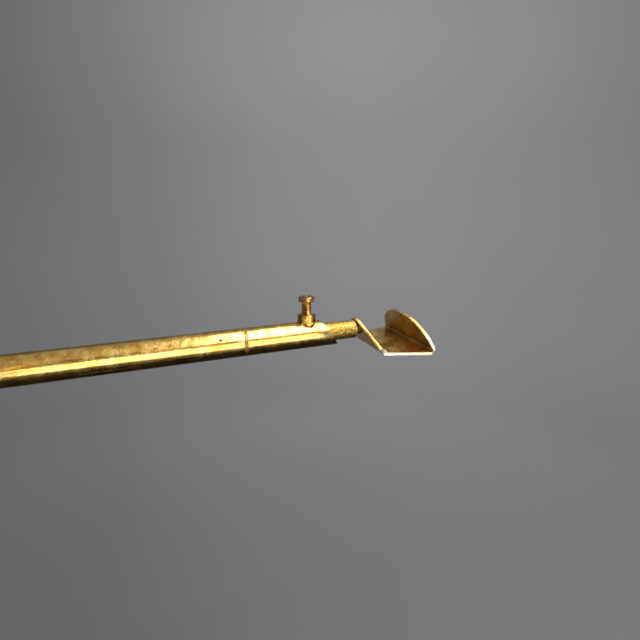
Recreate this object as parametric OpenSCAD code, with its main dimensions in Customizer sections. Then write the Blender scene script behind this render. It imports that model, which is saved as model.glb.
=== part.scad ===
// Free-standing brass music stand, millimetres.
// +Z is up and -Y faces the reader. The origin is on the floor under the column.
// Each reach arm is drawn in its own frame: +X out along the arm, +Z up, origin where the
// clamp screw's axis crosses the rod's axis.

/* [Reach arm] */
// Outside radius of the arm tubes, the sockets and the cross tube
arm_r = 7; // [6.5:0.1:8]
// Wall of the arm tubes and the cross tube
arm_wall = 1.25; // [1:0.05:1.4]
// Radius of the sliding rod
rod_r = 4.8; // [4:0.1:4.8]
// Distance from the clamp screw back to the socket's seam
socket_back = 32; // [28:1:40]
// Where the slanted mouth crosses the rod's axis, from the clamp screw
mouth_at = 11.7; // [10:0.1:14]
// Slant of the mouth, from square, its lower lip being the longer
mouth_slant = 33.5; // [0:0.5:40]
// Thickness of the thin ring in the seam
ring_t = 1.6; // [1:0.1:3]
// Distance from the clamp screw to the rod's square end
rod_end = 26.9; // [26:0.1:26.9]
// How far the rod slides out
reach_out = 60; // [20:5:60]
// How far the rod pushes in past its stored place
reach_in = 5; // [0:1:6]

/* [Clamp screw] */
// Radius of the screw's thread
screw_r = 2.5; // [2:0.5:3]
// Nut across its flats
nut_flats = 8; // [7:0.5:10]
// Height of the nut
nut_h = 4; // [3:0.5:5]
// Bare thread between the nut and the head
screw_free = 6.5; // [4:0.5:10]
// Radius of the screw's head
head_r = 4; // [3.5:0.1:5]
// Height of the screw's head
head_h = 2.6; // [2:0.1:4]
// Width of the driver slot
slot_w = 1.4; // [0.8:0.1:1.8]
// Depth of the driver slot
slot_d = 1.7; // [0.8:0.1:2]

/* [Ledge] */
// Thickness of the sheet brass
sheet_t = 1.5; // [1:0.1:2]
// Outside radius of the folds
fold_r = 2.6; // [2.1:0.1:3]
// Back fold, from the clamp screw
back_fold = 34.7; // [34.6:0.1:36]
// Outermost point of the lip's fold, from the clamp screw
lip_fold = 61.5; // [55:0.1:80]
// Underside of the ledge's floor, below the rod's axis
floor_drop = 9.7; // [9:0.1:11]
// Lean of the back plate from level
back_lean = 62; // [55:1:75]
// Lean of the lip from level
lip_lean = 65.4; // [60:0.1:85]
// Half of the width at the back fold
back_half_w = 18.4; // [15:0.1:25]
// Half of the width at the lip's fold
lip_half_w = 24.9; // [18:0.1:30]
// Height of the lip along its own slope
lip_h = 20.4; // [12:0.1:25]
// Fall of the floor towards the lip, from level
floor_fall = 2; // [0:0.5:4]
// How far the floor and lip sit to one side of the rod
ledge_side = -1.6; // [-2:0.1:2]
// Radius of the back plate's round top, which is centred on the rod
back_top_r = 6.4; // [5:0.1:8]

/* [Frame] */
// Height of the reach arms' axis
arm_height = 950; // [900:5:1000]
// Half of the distance between the two reach arms
arm_x = 150; // [110:5:180]
// Length from the cross tube to the clamp screws
arm_length = 155; // [150:5:170]
// How far the cross tube sits in front of the mast
cross_y = 19; // [18:1:25]
// Length from the mast to the back rest's clamp screw
rest_length = 48; // [44:1:60]
// Length of the back rest's bar
rest_w = 230; // [120:5:260]
// Height of the back rest's bar along its slope
rest_bar_h = 26; // [20:1:34]

/* [Column and mast] */
// Outside radius of the column tube
column_r = 11; // [10.5:0.5:12]
// Wall of the column tube
column_wall = 1.5; // [1.2:0.1:1.8]
// Outside radius of the mast tube
mast_r = 8; // [7.8:0.1:8.2]
// Wall of the mast tube
mast_wall = 1.25; // [1:0.05:1.5]
// Height of the column tube's top end
column_top = 640; // [620:5:645]
// Length of the socket above the column tube
column_socket_h = 48; // [40:1:50]
// Height of the mast's lower end
mast_foot = 470; // [460:5:490]

/* [Tripod] */
// Radius of the bend in each leg
leg_bend_r = 160; // [140:5:170]
// How far the bend turns each leg from plumb
leg_turn = 70; // [65:1:74]
// Radius of the circle that the legs enter the hub on
leg_circle = 22; // [21.5:0.5:24]
// Radius of the hub
hub_r = 32; // [31.5:0.5:36]
// Height of the hub
hub_h = 25; // [22:1:30]
// Radius of the rubber ball feet
foot_r = 12; // [11:0.5:14]
// Height of each ball foot's centre above the floor
foot_c = 11; // [10:0.5:12]

/* [Hidden] */
$fn = 64;

run_gap = 0.05;      // radial clearance of a running fit
seat_gap = 0.02;     // radial clearance of a brazed or pressed seat
part_gap = 0.3;      // room between pieces that move past each other
cut = 1;             // overshoot of a cutting solid
over = 200;          // longer than any cut made with it

bore_r = rod_r + run_gap;
tube_in_r = arm_r - arm_wall;
spigot_r = tube_in_r - run_gap;
spigot_len = 20;
seam_at = -socket_back;
tube_front = seam_at - ring_t;
spigot_back = seam_at - spigot_len;
neck_r = 3;
stop_len = 6;
rod_back = spigot_back - reach_out - part_gap;
tail_t = 2;
pin_at = -45;
pin_r = 0.55;
pin_up = 36;         // angle of the locking pin above level
pin_sunk = 0.9;
slot_turn = 68;      // direction of the driver slot about the screw
nut_turn = 40;       // direction of the nut's first corner about the screw
braze_r = 5.3;       // foot of the brazed fillet round a nut
braze_h = 1.1;
nut_bevel = 0.15;
thread_chamfer = 0.6;

cot_lean = cos(back_lean) / sin(back_lean);
fold_in_r = fold_r - sheet_t;
floor_along = [cos(floor_fall), -sin(floor_fall)];
floor_in = [sin(floor_fall), cos(floor_fall)];
floor_out = 270 - floor_fall;
back_out = 270 - back_lean;
lip_out = 450 - lip_lean;
back_corner = [back_fold, -floor_drop];
back_centre = back_corner + fold_r * (tan((floor_out - back_out) / 2) * floor_along + floor_in);
floor_len = (lip_fold - fold_r - back_centre[0]) / floor_along[0];
lip_centre = back_centre + floor_len * floor_along;
lip_corner = lip_centre + fold_r * (tan((lip_out - floor_out) / 2) * floor_along - floor_in);
// length along the back plate from its fold to the rod's axis
rod_up = floor_drop / sin(back_lean);
back_h = rod_up + back_top_r;
fold_reach = 4;      // how far an outline runs on past its fold
fold_steps = 8;
lip_steps = 48;
rivet_r = 5;
rivet_t = 1.3;

arm_y = -cross_y - arm_length;
rest_y = -rest_length;
// the back rest's face lies in the plane of the ledges' back plates
rest_height = arm_height + (rest_y - arm_y) / cot_lean;
rest_tube_back = 90;
cap_flange = 3;
cap_plug = 7;
elbow_r = 11.5;
elbow_seat = 8;
tee_r = 10.5;
tee_half = 12;
tee_skirt = 34;
tee_web = 2;
mast_top = rest_height - arm_r - tee_web;
head_sleeve_r = 12;
head_half = 18;
head_pipe_r = 10.5;
head_pipe_half = 22;

foot_reach = -arm_y + lip_fold - foot_r;
leg_drop = leg_bend_r * sin(leg_turn);
leg_run = leg_bend_r * (1 - cos(leg_turn));
leg_straight = (foot_reach - leg_circle - leg_run) / sin(leg_turn);
leg_bend_z = foot_c + leg_straight * cos(leg_turn) + leg_drop;
foot_seat = 5;
bend_lap = 1;
bend_step = 0.1;     // the straights are this much thinner than the bend
hub_z = leg_bend_z + 4;
leg_top = hub_z + hub_h - 4;
hub_edge = 3;
leg_screw_r = 2;
column_bottom = hub_z - 4;
column_in_r = column_r - column_wall;
plug_flange = 4;
plug_len = 14;
column_spigot = 30;
clamp_z = column_top + column_socket_h / 2;
mast_in_r = mast_r - mast_wall;
mast_neck_r = 4;
mast_stop_len = 8;
mast_plug_len = 18;
mast_tail_r = 6;
leg_angles = [90, 210, 330];

// Along +X from a to b
module along(a, b, r) {
    translate([a, 0, 0]) rotate([0, 90, 0]) cylinder(h = b - a, r = r);
}

// A tube along +X
module pipe(a, b, r_out, r_in) {
    difference() {
        along(a, b, r_out);
        along(a - cut, b + cut, r_in);
    }
}

// Places an arm's own frame in the stand
module at_arm(side) {
    x = side == "left" ? -arm_x : side == "right" ? arm_x : 0;
    y = side == "rest" ? rest_y : arm_y;
    z = side == "rest" ? rest_height : arm_height;
    translate([x, y, z]) rotate([0, 0, -90]) children();
}

// Hex nut brazed on a tube of radius seat_r, standing up along +Z
module clamp_nut(seat_r) {
    corner_r = nut_flats / 2 / cos(30);
    crown_r = nut_flats / 2 - nut_bevel;
    height = nut_h + braze_h;
    color("goldenrod") difference() {
        union() {
            translate([0, 0, seat_r - braze_h]) intersection() {
                rotate([0, 0, nut_turn]) cylinder(h = height, r = corner_r, $fn = 6);
                cylinder(h = height, r1 = crown_r + 2 * height, r2 = crown_r);
            }
            translate([0, 0, seat_r - braze_h])
                cylinder(h = 2 * braze_h, r1 = braze_r, r2 = nut_flats / 2 * 0.95);
        }
        rotate([0, 90, 0]) cylinder(h = over, r = seat_r, center = true);
        cylinder(h = over, r = screw_r + run_gap);
    }
}

// Slotted screw along +Z, its tip tip_z above the arm's axis
module clamp_screw(tip_z, seat_r) {
    head_z = seat_r + nut_h + screw_free;
    color("gold") difference() {
        union() {
            translate([0, 0, tip_z])
                cylinder(h = thread_chamfer, r1 = screw_r - thread_chamfer, r2 = screw_r);
            translate([0, 0, tip_z + thread_chamfer])
                cylinder(h = head_z - tip_z - thread_chamfer + cut, r = screw_r);
            translate([0, 0, head_z]) cylinder(h = head_h, r = head_r);
        }
        translate([0, 0, head_z + head_h - slot_d]) rotate([0, 0, slot_turn])
            translate([-head_r - cut, -slot_w / 2, 0])
                cube([2 * (head_r + cut), slot_w, slot_d + cut]);
    }
}

// Direction of the little pin that locks a socket in its tube
module pin_line() {
    translate([pin_at, 0, 0]) rotate([90 - pin_up, 0, 0]) children();
}

module arm_tube(back) {
    color("goldenrod") difference() {
        pipe(back, tube_front, arm_r, tube_in_r);
        pin_line() cylinder(h = over, r = pin_r + seat_gap);
    }
}

module arm_pin() {
    color("saddlebrown") pin_line()
        translate([0, 0, bore_r + part_gap])
            cylinder(h = arm_r - pin_sunk - bore_r - part_gap, r = pin_r);
}

module arm_ring() {
    color("darkgoldenrod") pipe(tube_front, seam_at, arm_r, spigot_r + seat_gap);
}

module arm_socket() {
    color("goldenrod") difference() {
        union() {
            along(seam_at, mouth_at + over / 10, arm_r);
            along(spigot_back, seam_at + cut, spigot_r);
        }
        along(spigot_back - cut, mouth_at + over, bore_r);
        translate([mouth_at, -over / 2, 0]) rotate([0, -mouth_slant, 0])
            translate([0, 0, -over / 2]) cube([over, over, over]);
        cylinder(h = over, r = screw_r + run_gap);
        pin_line() cylinder(h = over, r = pin_r + seat_gap);
    }
}

// Collar that the rod turns in, and that stops it from pulling out
module rod_stop() {
    color("darkgoldenrod")
        pipe(rod_back - stop_len + part_gap, rod_back - part_gap, spigot_r, neck_r + run_gap);
}

// Rod with its tail in the collar and its tenon peened over on the leaning plate
module arm_rod() {
    face_at = back_fold - cot_lean * floor_drop;
    color("goldenrod") {
        along(rod_back, rod_end, rod_r);
        along(rod_back - stop_len - cut, rod_back + cut, neck_r);
        along(rod_back - stop_len - tail_t, rod_back - stop_len, rod_r);
        intersection() {
            along(rod_end - cut, rod_end + over / 10, neck_r);
            translate([face_at, 0, 0]) rotate([0, back_lean - 90, 0])
                translate([-over, -over / 2, -over / 2])
                    cube([over + sheet_t + rivet_t / 2, over, over]);
        }
        translate([face_at, 0, 0]) rotate([0, back_lean - 90, 0])
            translate([sheet_t, 0, 0]) rotate([0, 90, 0])
                cylinder(h = rivet_t, r1 = rivet_r, r2 = rivet_r * 0.7);
    }
}

// Points on a fold: centre c, radius r, from angle a to angle b
function fold_points(c, r, a, b) =
    [for (i = [0:fold_steps]) let (t = a + (b - a) * i / fold_steps) c + r * [cos(t), sin(t)]];

// Cut end of the folded sheet: back plate, floor and lip as one bent strip
module ledge_section() {
    back_end = back_corner + (back_h + cut) * [-cos(back_lean), sin(back_lean)];
    lip_end = lip_corner + (lip_h + cut) * [-cos(lip_lean), sin(lip_lean)];
    back_in = back_end - sheet_t * [cos(back_out), sin(back_out)];
    lip_in = lip_end - sheet_t * [cos(lip_out), sin(lip_out)];
    polygon(concat(
        [back_end],
        fold_points(back_centre, fold_r, back_out, floor_out),
        fold_points(lip_centre, fold_r, floor_out, lip_out),
        [lip_end, lip_in],
        fold_points(lip_centre, fold_in_r, lip_out, floor_out),
        fold_points(back_centre, fold_in_r, floor_out, back_out),
        [back_in]
    ));
}

// One straight side of the back plate, from its foot to where it runs into the round top
module back_side(side) {
    foot = [side * back_half_w + ledge_side, 0];
    top = [0, rod_up];
    to_foot = atan2(foot[1] - top[1], foot[0] - top[0]);
    touch = to_foot + side * acos(back_top_r / norm(foot - top));
    polygon([
        [0, -fold_reach], [foot[0], -fold_reach], foot,
        top + back_top_r * [cos(touch), sin(touch)], top
    ]);
}

// Back plate's outline: straight sides that run into a round top
module back_outline() {
    translate([0, rod_up]) circle(r = back_top_r);
    for (side = [-1, 1]) back_side(side);
}

// Lip's outline: half an ellipse on a short straight foot
module lip_outline() {
    translate([ledge_side, 0]) polygon(concat(
        [[-lip_half_w, -fold_reach], [lip_half_w, -fold_reach]],
        [for (i = [0:lip_steps])
            let (t = 180 * i / lip_steps) [lip_half_w * cos(t), lip_h * sin(t)]]
    ));
}

// Stands an outline up on a fold's corner, leaning back from level by lean
module stand_up(corner, lean, deep) {
    translate([corner[0], 0, corner[1]]) rotate([0, lean - 90, 0]) rotate([90, 0, 90])
        translate([0, 0, -deep]) linear_extrude(2 * deep) children();
}

module ledge_plate() {
    fan_end = lip_corner[0] - fold_reach;
    color("gold") difference() {
        intersection() {
            rotate([90, 0, 0]) linear_extrude(4 * lip_half_w, center = true) ledge_section();
            union() {
                stand_up(back_corner, back_lean, 2 * sheet_t) back_outline();
                stand_up(lip_corner, lip_lean, 5) lip_outline();
                translate([0, ledge_side, lip_corner[1] - cut]) linear_extrude(fold_r + 2 * cut)
                    polygon([
                        [back_fold, -back_half_w], [fan_end, -lip_half_w],
                        [fan_end, lip_half_w], [back_fold, back_half_w]
                    ]);
            }
        }
        along(rod_end - 2, rod_end + 12, neck_r + seat_gap);
    }
}

// Level bar that leans like the ledges' back plates
module rest_bar() {
    color("gold") difference() {
        translate([back_fold - cot_lean * floor_drop, 0, 0]) rotate([0, back_lean - 90, 0])
            rotate([90, 0, 90]) linear_extrude(sheet_t) union() {
                square([rest_w - rest_bar_h, rest_bar_h], center = true);
                for (s = [-1, 1]) translate([s * (rest_w - rest_bar_h) / 2, 0])
                    circle(r = rest_bar_h / 2);
            }
        along(rod_end - 2, rod_end + 12, neck_r + seat_gap);
    }
}

// Ball fitting that turns the cross tube forward into an arm; side is -1 or 1
module elbow(side) {
    color("goldenrod") translate([side * arm_x, -cross_y, arm_height])
        difference() {
            rotate([90, 90, 0]) sphere(r = elbow_r);
            for (a = [-90, side > 0 ? 180 : 0])
                rotate([0, 0, a]) along(elbow_seat, over, arm_r + seat_gap);
        }
}

module cross_tube() {
    color("goldenrod") translate([0, -cross_y, arm_height])
        pipe(elbow_seat - arm_x, arm_x - elbow_seat, arm_r, tube_in_r);
}

// Turns +Z of a clamp to point backwards, away from the reader
module facing_back(z) {
    translate([0, 0, z]) rotate([0, 0, 90]) rotate([0, 90, 0]) children();
}

module head_block() {
    color("darkgoldenrod") difference() {
        translate([0, 0, arm_height]) union() {
            translate([0, 0, -head_half]) cylinder(h = 2 * head_half, r = head_sleeve_r);
            translate([0, -cross_y, 0]) along(-head_pipe_half, head_pipe_half, head_pipe_r);
            translate([-head_sleeve_r, -cross_y, -head_pipe_r / 2])
                cube([2 * head_sleeve_r, cross_y, head_pipe_r]);
        }
        cylinder(h = 10 * over, r = mast_r + run_gap);
        translate([0, -cross_y, arm_height]) along(-over, over, arm_r + seat_gap);
        facing_back(arm_height) cylinder(h = over, r = screw_r + run_gap);
    }
}

module column_tube() {
    color("goldenrod") difference() {
        translate([0, 0, column_bottom]) cylinder(h = column_top - column_bottom, r = column_r);
        translate([0, 0, column_bottom - cut]) cylinder(h = column_top, r = column_in_r);
    }
}

module column_plug() {
    color("darkgoldenrod") {
        translate([0, 0, column_bottom - plug_flange]) cylinder(h = plug_flange, r = column_r);
        translate([0, 0, column_bottom - cut])
            cylinder(h = plug_len + cut, r = column_in_r - seat_gap);
    }
}

module column_socket() {
    color("goldenrod") difference() {
        union() {
            translate([0, 0, column_top]) cylinder(h = column_socket_h - 2, r = column_r);
            translate([0, 0, column_top + column_socket_h - 2])
                cylinder(h = 2, r1 = column_r, r2 = column_r - 1.5);
            translate([0, 0, column_top - column_spigot])
                cylinder(h = column_spigot + cut, r = column_in_r - seat_gap);
        }
        translate([0, 0, column_top - column_spigot - cut])
            cylinder(h = over, r = mast_r + run_gap);
        facing_back(clamp_z) cylinder(h = over, r = screw_r + run_gap);
    }
}

module mast_tube() {
    color("goldenrod") difference() {
        translate([0, 0, mast_foot]) cylinder(h = mast_top - mast_foot, r = mast_r);
        translate([0, 0, mast_foot - cut])
            cylinder(h = mast_top - mast_foot + 2 * cut, r = mast_in_r);
    }
}

// Plug in the mast's lower end, with a neck that turns in the stop collar
module mast_plug() {
    color("darkgoldenrod") {
        translate([0, 0, mast_foot]) cylinder(h = mast_plug_len, r = mast_in_r - seat_gap);
        translate([0, 0, mast_foot - mast_stop_len - cut])
            cylinder(h = mast_stop_len + 2 * cut, r = mast_neck_r);
        translate([0, 0, mast_foot - mast_stop_len - tail_t])
            cylinder(h = tail_t, r = mast_tail_r);
    }
}

module mast_stop() {
    color("darkgoldenrod") translate([0, 0, mast_foot - mast_stop_len + part_gap]) difference() {
        cylinder(h = mast_stop_len - 2 * part_gap, r = column_in_r - run_gap);
        translate([0, 0, -cut]) cylinder(h = 2 * mast_stop_len, r = mast_neck_r + run_gap);
    }
}

module rest_tee() {
    color("darkgoldenrod") difference() {
        union() {
            translate([0, 0, rest_height - tee_skirt]) cylinder(h = tee_skirt, r = tee_r);
            translate([0, 0, rest_height]) rotate([0, 0, -90]) along(-tee_half, tee_half, tee_r);
        }
        translate([0, 0, rest_height - tee_skirt - cut])
            cylinder(h = mast_top - rest_height + tee_skirt + cut, r = mast_r + seat_gap);
        translate([0, 0, rest_height]) rotate([0, 0, -90])
            along(-over, over, arm_r + seat_gap);
        facing_back(mast_top - tee_half) cylinder(h = over, r = leg_screw_r + seat_gap);
    }
}

// Headless slotted screw along +Z from z to z + len
module grub_screw(z, len) {
    color("darkgoldenrod") difference() {
        translate([0, 0, z]) cylinder(h = len, r = leg_screw_r);
        translate([-over / 2, -slot_w / 4, z + len - slot_d / 2]) cube([over, slot_w / 2, over]);
    }
}

module rest_tee_screw() {
    facing_back(mast_top - tee_half) grub_screw(mast_r + seat_gap, tee_r - mast_r);
}

// Cap in the back end of a tube that starts at back
module tube_cap(back) {
    color("darkgoldenrod") {
        translate([back, 0, 0]) rotate([0, -90, 0])
            cylinder(h = cap_flange, r1 = arm_r, r2 = arm_r - cap_flange / 2);
        along(back - cut, back + cap_plug, tube_in_r - seat_gap);
    }
}

module base_hub() {
    color("darkgoldenrod") difference() {
        translate([0, 0, hub_z]) rotate_extrude() polygon([
            [0, 0], [hub_r - hub_edge, 0], [hub_r, hub_edge], [hub_r, hub_h - 2 * hub_edge],
            [hub_r - 2 * hub_edge, hub_h], [0, hub_h]
        ]);
        translate([0, 0, hub_z - cut]) cylinder(h = over, r = column_r + seat_gap);
        for (a = leg_angles) rotate([0, 0, a]) {
            translate([leg_circle, 0, hub_z - cut])
                cylinder(h = leg_top - hub_z + cut, r = arm_r + seat_gap);
            translate([leg_circle, 0, hub_z + hub_h / 2]) along(0, over, leg_screw_r + seat_gap);
        }
    }
}

module leg_screws() {
    for (a = leg_angles) rotate([0, 0, a])
        translate([0, 0, hub_z + hub_h / 2]) rotate([0, 90, 0])
            grub_screw(leg_circle + arm_r + seat_gap, hub_r - leg_circle - arm_r);
}

// Bent bar: plumb in the hub, a bend, then straight out to its foot.
// Its straights are thinner than the bend by bend_step and enter it by bend_lap.
module leg(a) {
    straight_r = arm_r - bend_step;
    color("goldenrod") rotate([0, 0, a]) {
        translate([leg_circle, 0, leg_bend_z - bend_lap])
            cylinder(h = leg_top - leg_bend_z + bend_lap, r = straight_r);
        translate([leg_circle + leg_bend_r, 0, leg_bend_z]) rotate([90, 0, 0])
            rotate([0, 0, 180]) rotate_extrude(angle = leg_turn)
                translate([leg_bend_r, 0]) circle(r = arm_r);
        translate([foot_reach, 0, foot_c]) rotate([0, -leg_turn, 0])
            translate([0, 0, foot_seat])
                cylinder(h = leg_straight - foot_seat + bend_lap, r = straight_r);
    }
}

module foot(a) {
    color("dimgray") rotate([0, 0, a]) translate([foot_reach, 0, foot_c]) difference() {
        sphere(r = foot_r);
        translate([0, 0, -foot_c - over]) cylinder(h = over, r = over);
        rotate([0, -leg_turn, 0]) translate([0, 0, foot_seat])
            cylinder(h = over, r = arm_r + seat_gap);
    }
}

// One piece of a reach arm, or of the back rest, at its place in the stand
module arm_piece(side, name) {
    back = side == "rest" ? -rest_length - rest_tube_back : elbow_seat - arm_length;
    at_arm(side) {
        if (name == "tube") arm_tube(back);
        if (name == "cap") tube_cap(back);
        if (name == "pin") arm_pin();
        if (name == "ring") arm_ring();
        if (name == "socket") arm_socket();
        if (name == "nut") clamp_nut(arm_r);
        if (name == "screw") clamp_screw(rod_r + part_gap, arm_r);
        if (name == "stop") rod_stop();
        if (name == "rod") arm_rod();
        if (name == "plate") ledge_plate();
        if (name == "bar") rest_bar();
    }
}

base_hub();
leg(leg_angles[0]);  // leg_rear
leg(leg_angles[1]);  // leg_left
leg(leg_angles[2]);  // leg_right
foot(leg_angles[0]);  // foot_rear
foot(leg_angles[1]);  // foot_left
foot(leg_angles[2]);  // foot_right
leg_screws();
column_tube();
column_plug();
column_socket();
facing_back(clamp_z) clamp_nut(column_r);  // column_nut
facing_back(clamp_z) clamp_screw(mast_r + part_gap, column_r);  // column_screw
mast_tube();
mast_plug();
mast_stop();
head_block();
facing_back(arm_height) clamp_nut(head_sleeve_r);  // head_nut
facing_back(arm_height) clamp_screw(mast_r + part_gap, head_sleeve_r);  // head_screw
cross_tube();
elbow(-1);  // left_elbow
elbow(1);  // right_elbow
arm_piece("left", "tube");  // left_arm_tube
arm_piece("left", "pin");  // left_arm_pin
arm_piece("left", "ring");  // left_arm_ring
arm_piece("left", "socket");  // left_arm_socket
arm_piece("left", "nut");  // left_arm_nut
arm_piece("left", "screw");  // left_arm_screw
arm_piece("left", "stop");  // left_rod_stop
arm_piece("left", "rod");  // left_ledge_rod
arm_piece("left", "plate");  // left_ledge_plate
arm_piece("right", "tube");  // right_arm_tube
arm_piece("right", "pin");  // right_arm_pin
arm_piece("right", "ring");  // right_arm_ring
arm_piece("right", "socket");  // right_arm_socket
arm_piece("right", "nut");  // right_arm_nut
arm_piece("right", "screw");  // right_arm_screw
arm_piece("right", "stop");  // right_rod_stop
arm_piece("right", "rod");  // right_ledge_rod
arm_piece("right", "plate");  // right_ledge_plate
rest_tee();
rest_tee_screw();
arm_piece("rest", "tube");  // rest_tube
arm_piece("rest", "cap");  // rest_cap
arm_piece("rest", "pin");  // rest_pin
arm_piece("rest", "ring");  // rest_ring
arm_piece("rest", "socket");  // rest_socket
arm_piece("rest", "nut");  // rest_nut
arm_piece("rest", "screw");  // rest_screw
arm_piece("rest", "stop");  // rest_rod_stop
arm_piece("rest", "rod");  // rest_rod
arm_piece("rest", "bar");  // rest_bar
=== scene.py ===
"""Looks of an adjustable brass music stand: three legs, a telescoping mast and three clamped arms.

Two low reach arms end in folded sheet ledges that the music stands on, and a third arm at the top
carries the back rest. Every arm is the same set of pieces: tube, ring, clamp socket, nut, screw and
rod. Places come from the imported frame; sizes in millimetres are the pieces' own.
"""

import logging
import math
from dataclasses import dataclass, field
from enum import Enum
from typing import Callable, Iterable, Sequence

import bpy
from mathutils import Matrix, Vector


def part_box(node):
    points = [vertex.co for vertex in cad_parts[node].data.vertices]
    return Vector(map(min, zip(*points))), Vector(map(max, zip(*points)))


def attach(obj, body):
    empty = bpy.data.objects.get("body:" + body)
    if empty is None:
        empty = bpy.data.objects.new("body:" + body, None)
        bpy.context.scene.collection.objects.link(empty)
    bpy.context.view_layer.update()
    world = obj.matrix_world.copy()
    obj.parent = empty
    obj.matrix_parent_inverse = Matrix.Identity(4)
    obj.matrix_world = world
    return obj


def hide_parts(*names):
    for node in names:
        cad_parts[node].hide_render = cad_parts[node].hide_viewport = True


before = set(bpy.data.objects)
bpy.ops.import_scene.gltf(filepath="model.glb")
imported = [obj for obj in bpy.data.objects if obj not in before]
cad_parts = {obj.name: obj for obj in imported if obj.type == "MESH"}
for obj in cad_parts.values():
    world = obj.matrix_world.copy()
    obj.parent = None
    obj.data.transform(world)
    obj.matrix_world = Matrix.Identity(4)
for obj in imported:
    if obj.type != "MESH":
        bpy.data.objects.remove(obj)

MM = 0.001
FULL_TURN = 2 * math.pi
MERGE_WITHIN = 1e-6
# facets round the tubes, round the fittings, and round small hidden pieces
TUBE_FACETS, FITTING_FACETS, SMALL_FACETS = 128, 96, 72
# clearances on the radius in mm: a piece that slides or screws in, and a clamp screw's tip
RUNNING_GAP, TIP_GAP = 0.05, 0.3
LOG = logging.getLogger("music_stand")

Piece = bpy.types.Object
Point = tuple[float, float]
Chooser = Callable[[Vector], bool]


# ---------------------------------------------------------------- places


class Heading(Enum):
    """Ways that a piece modelled upright along +Z is turned to stand in the model."""

    UP = Matrix.Identity(4)
    # +Z turns to -Y, out along an arm
    ALONG_ARM = Matrix.Rotation(math.pi / 2, 4, "X")
    # a clamp on an arm stays upright, with its own +X out along the arm
    ON_ARM = Matrix.Rotation(-math.pi / 2, 4, "Z")
    # +Z turns to +Y, away from the reader
    BACKWARDS = Matrix.Rotation(math.pi / 2, 4, "Z") @ Matrix.Rotation(math.pi / 2, 4, "Y")
    # +Z turns to +X, along the cross tube
    ACROSS = Matrix.Rotation(math.pi / 2, 4, "Y")

    def at(self, place: Vector) -> Matrix:
        """Returns the matrix that turns a piece this way and moves it to place."""
        return Matrix.Translation(place) @ self.value


def from_behind(height: float) -> Matrix:
    """Returns the matrix of a screw or drill that enters from behind at a height in metres."""
    return Heading.BACKWARDS.at(Vector((0, 0, height)))


def round_z(angle: float) -> Matrix:
    """Returns the turn about the Z axis by an angle in degrees."""
    return Matrix.Rotation(math.radians(angle), 4, "Z")


def box_middle(node: str) -> Vector:
    """Returns the middle of a CAD node's box."""
    low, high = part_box(node)
    return (low + high) / 2


# ---------------------------------------------------------------- bench work


def deselect() -> None:
    """Leaves object mode with nothing selected."""
    if bpy.context.object and bpy.context.object.mode != "OBJECT":
        bpy.ops.object.mode_set(mode="OBJECT")
    bpy.ops.object.select_all(action="DESELECT")


def take(piece: Piece) -> Piece:
    """Selects one piece alone and makes it active.

    Args:
        piece: The object to work on.

    Returns:
        The same object.
    """
    deselect()
    piece.select_set(True)
    bpy.context.view_layer.objects.active = piece
    return piece


def edit(piece: Piece, choose: Chooser | None = None) -> None:
    """Opens a piece in edit mode with some of its vertices selected.

    Args:
        piece: The object to open.
        choose: Says from a vertex's place whether it is selected; all are when it is None.
    """
    take(piece)
    for element in (*piece.data.polygons, *piece.data.edges):
        element.select = False
    for vertex in piece.data.vertices:
        vertex.select = choose is None or choose(vertex.co)
    bpy.ops.object.mode_set(mode="EDIT")
    bpy.ops.mesh.select_mode(type="VERT")


def close_edit() -> None:
    """Leaves edit mode."""
    bpy.ops.object.mode_set(mode="OBJECT")


def apply_modifier(piece: Piece, kind: str, **settings: object) -> None:
    """Adds one modifier to a piece and applies it.

    Args:
        piece: The object it works on.
        kind: The modifier's type.
        settings: Its settings by name.
    """
    take(piece)
    modifier = piece.modifiers.new(kind.title(), kind)
    for name, value in settings.items():
        setattr(modifier, name, value)
    bpy.ops.object.modifier_apply(modifier=modifier.name)


def tidy_mesh(piece: Piece) -> None:
    """Merges doubled vertices and turns all faces outwards.

    Args:
        piece: The object to clean.
    """
    edit(piece)
    bpy.ops.mesh.remove_doubles(threshold=MERGE_WITHIN)
    bpy.ops.mesh.normals_make_consistent(inside=False)
    close_edit()


def cut_away(piece: Piece, cutter: Piece, how: str = "DIFFERENCE") -> None:
    """Joins, trims or cuts a piece with another, which is used up.

    Args:
        piece: The object that stays.
        cutter: The object that is used up.
        how: The boolean operation.
    """
    apply_modifier(piece, "BOOLEAN", object=cutter, operation=how, solver="EXACT")
    take(cutter)
    bpy.ops.object.delete()


def soften(piece: Piece, width: float, angle: float = 35,
           segments: int = 2) -> Piece:
    """Breaks a piece's sharp edges as filing and polishing do, and shades the rest smooth.

    Args:
        piece: The object to work on.
        width: Width of the broken edge in mm.
        angle: Edges sharper than this many degrees are broken.
        segments: Steps across the broken edge.

    Returns:
        The same object.
    """
    if width:
        apply_modifier(
            piece, "BEVEL", width=width * MM, segments=segments, limit_method="ANGLE",
            angle_limit=math.radians(angle), use_clamp_overlap=True, miter_outer="MITER_ARC",
        )
    take(piece)
    bpy.ops.object.shade_smooth_by_angle(angle=math.radians(angle))
    return piece


def place(piece: Piece, matrix: Matrix) -> Piece:
    """Moves a piece by a matrix and leaves the move in its mesh.

    Args:
        piece: The object to move, which sits at the origin.
        matrix: Where it goes.

    Returns:
        The same object.
    """
    take(piece)
    piece.matrix_world = matrix
    bpy.ops.object.transform_apply(location=True, rotation=True, scale=True)
    return piece


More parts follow.
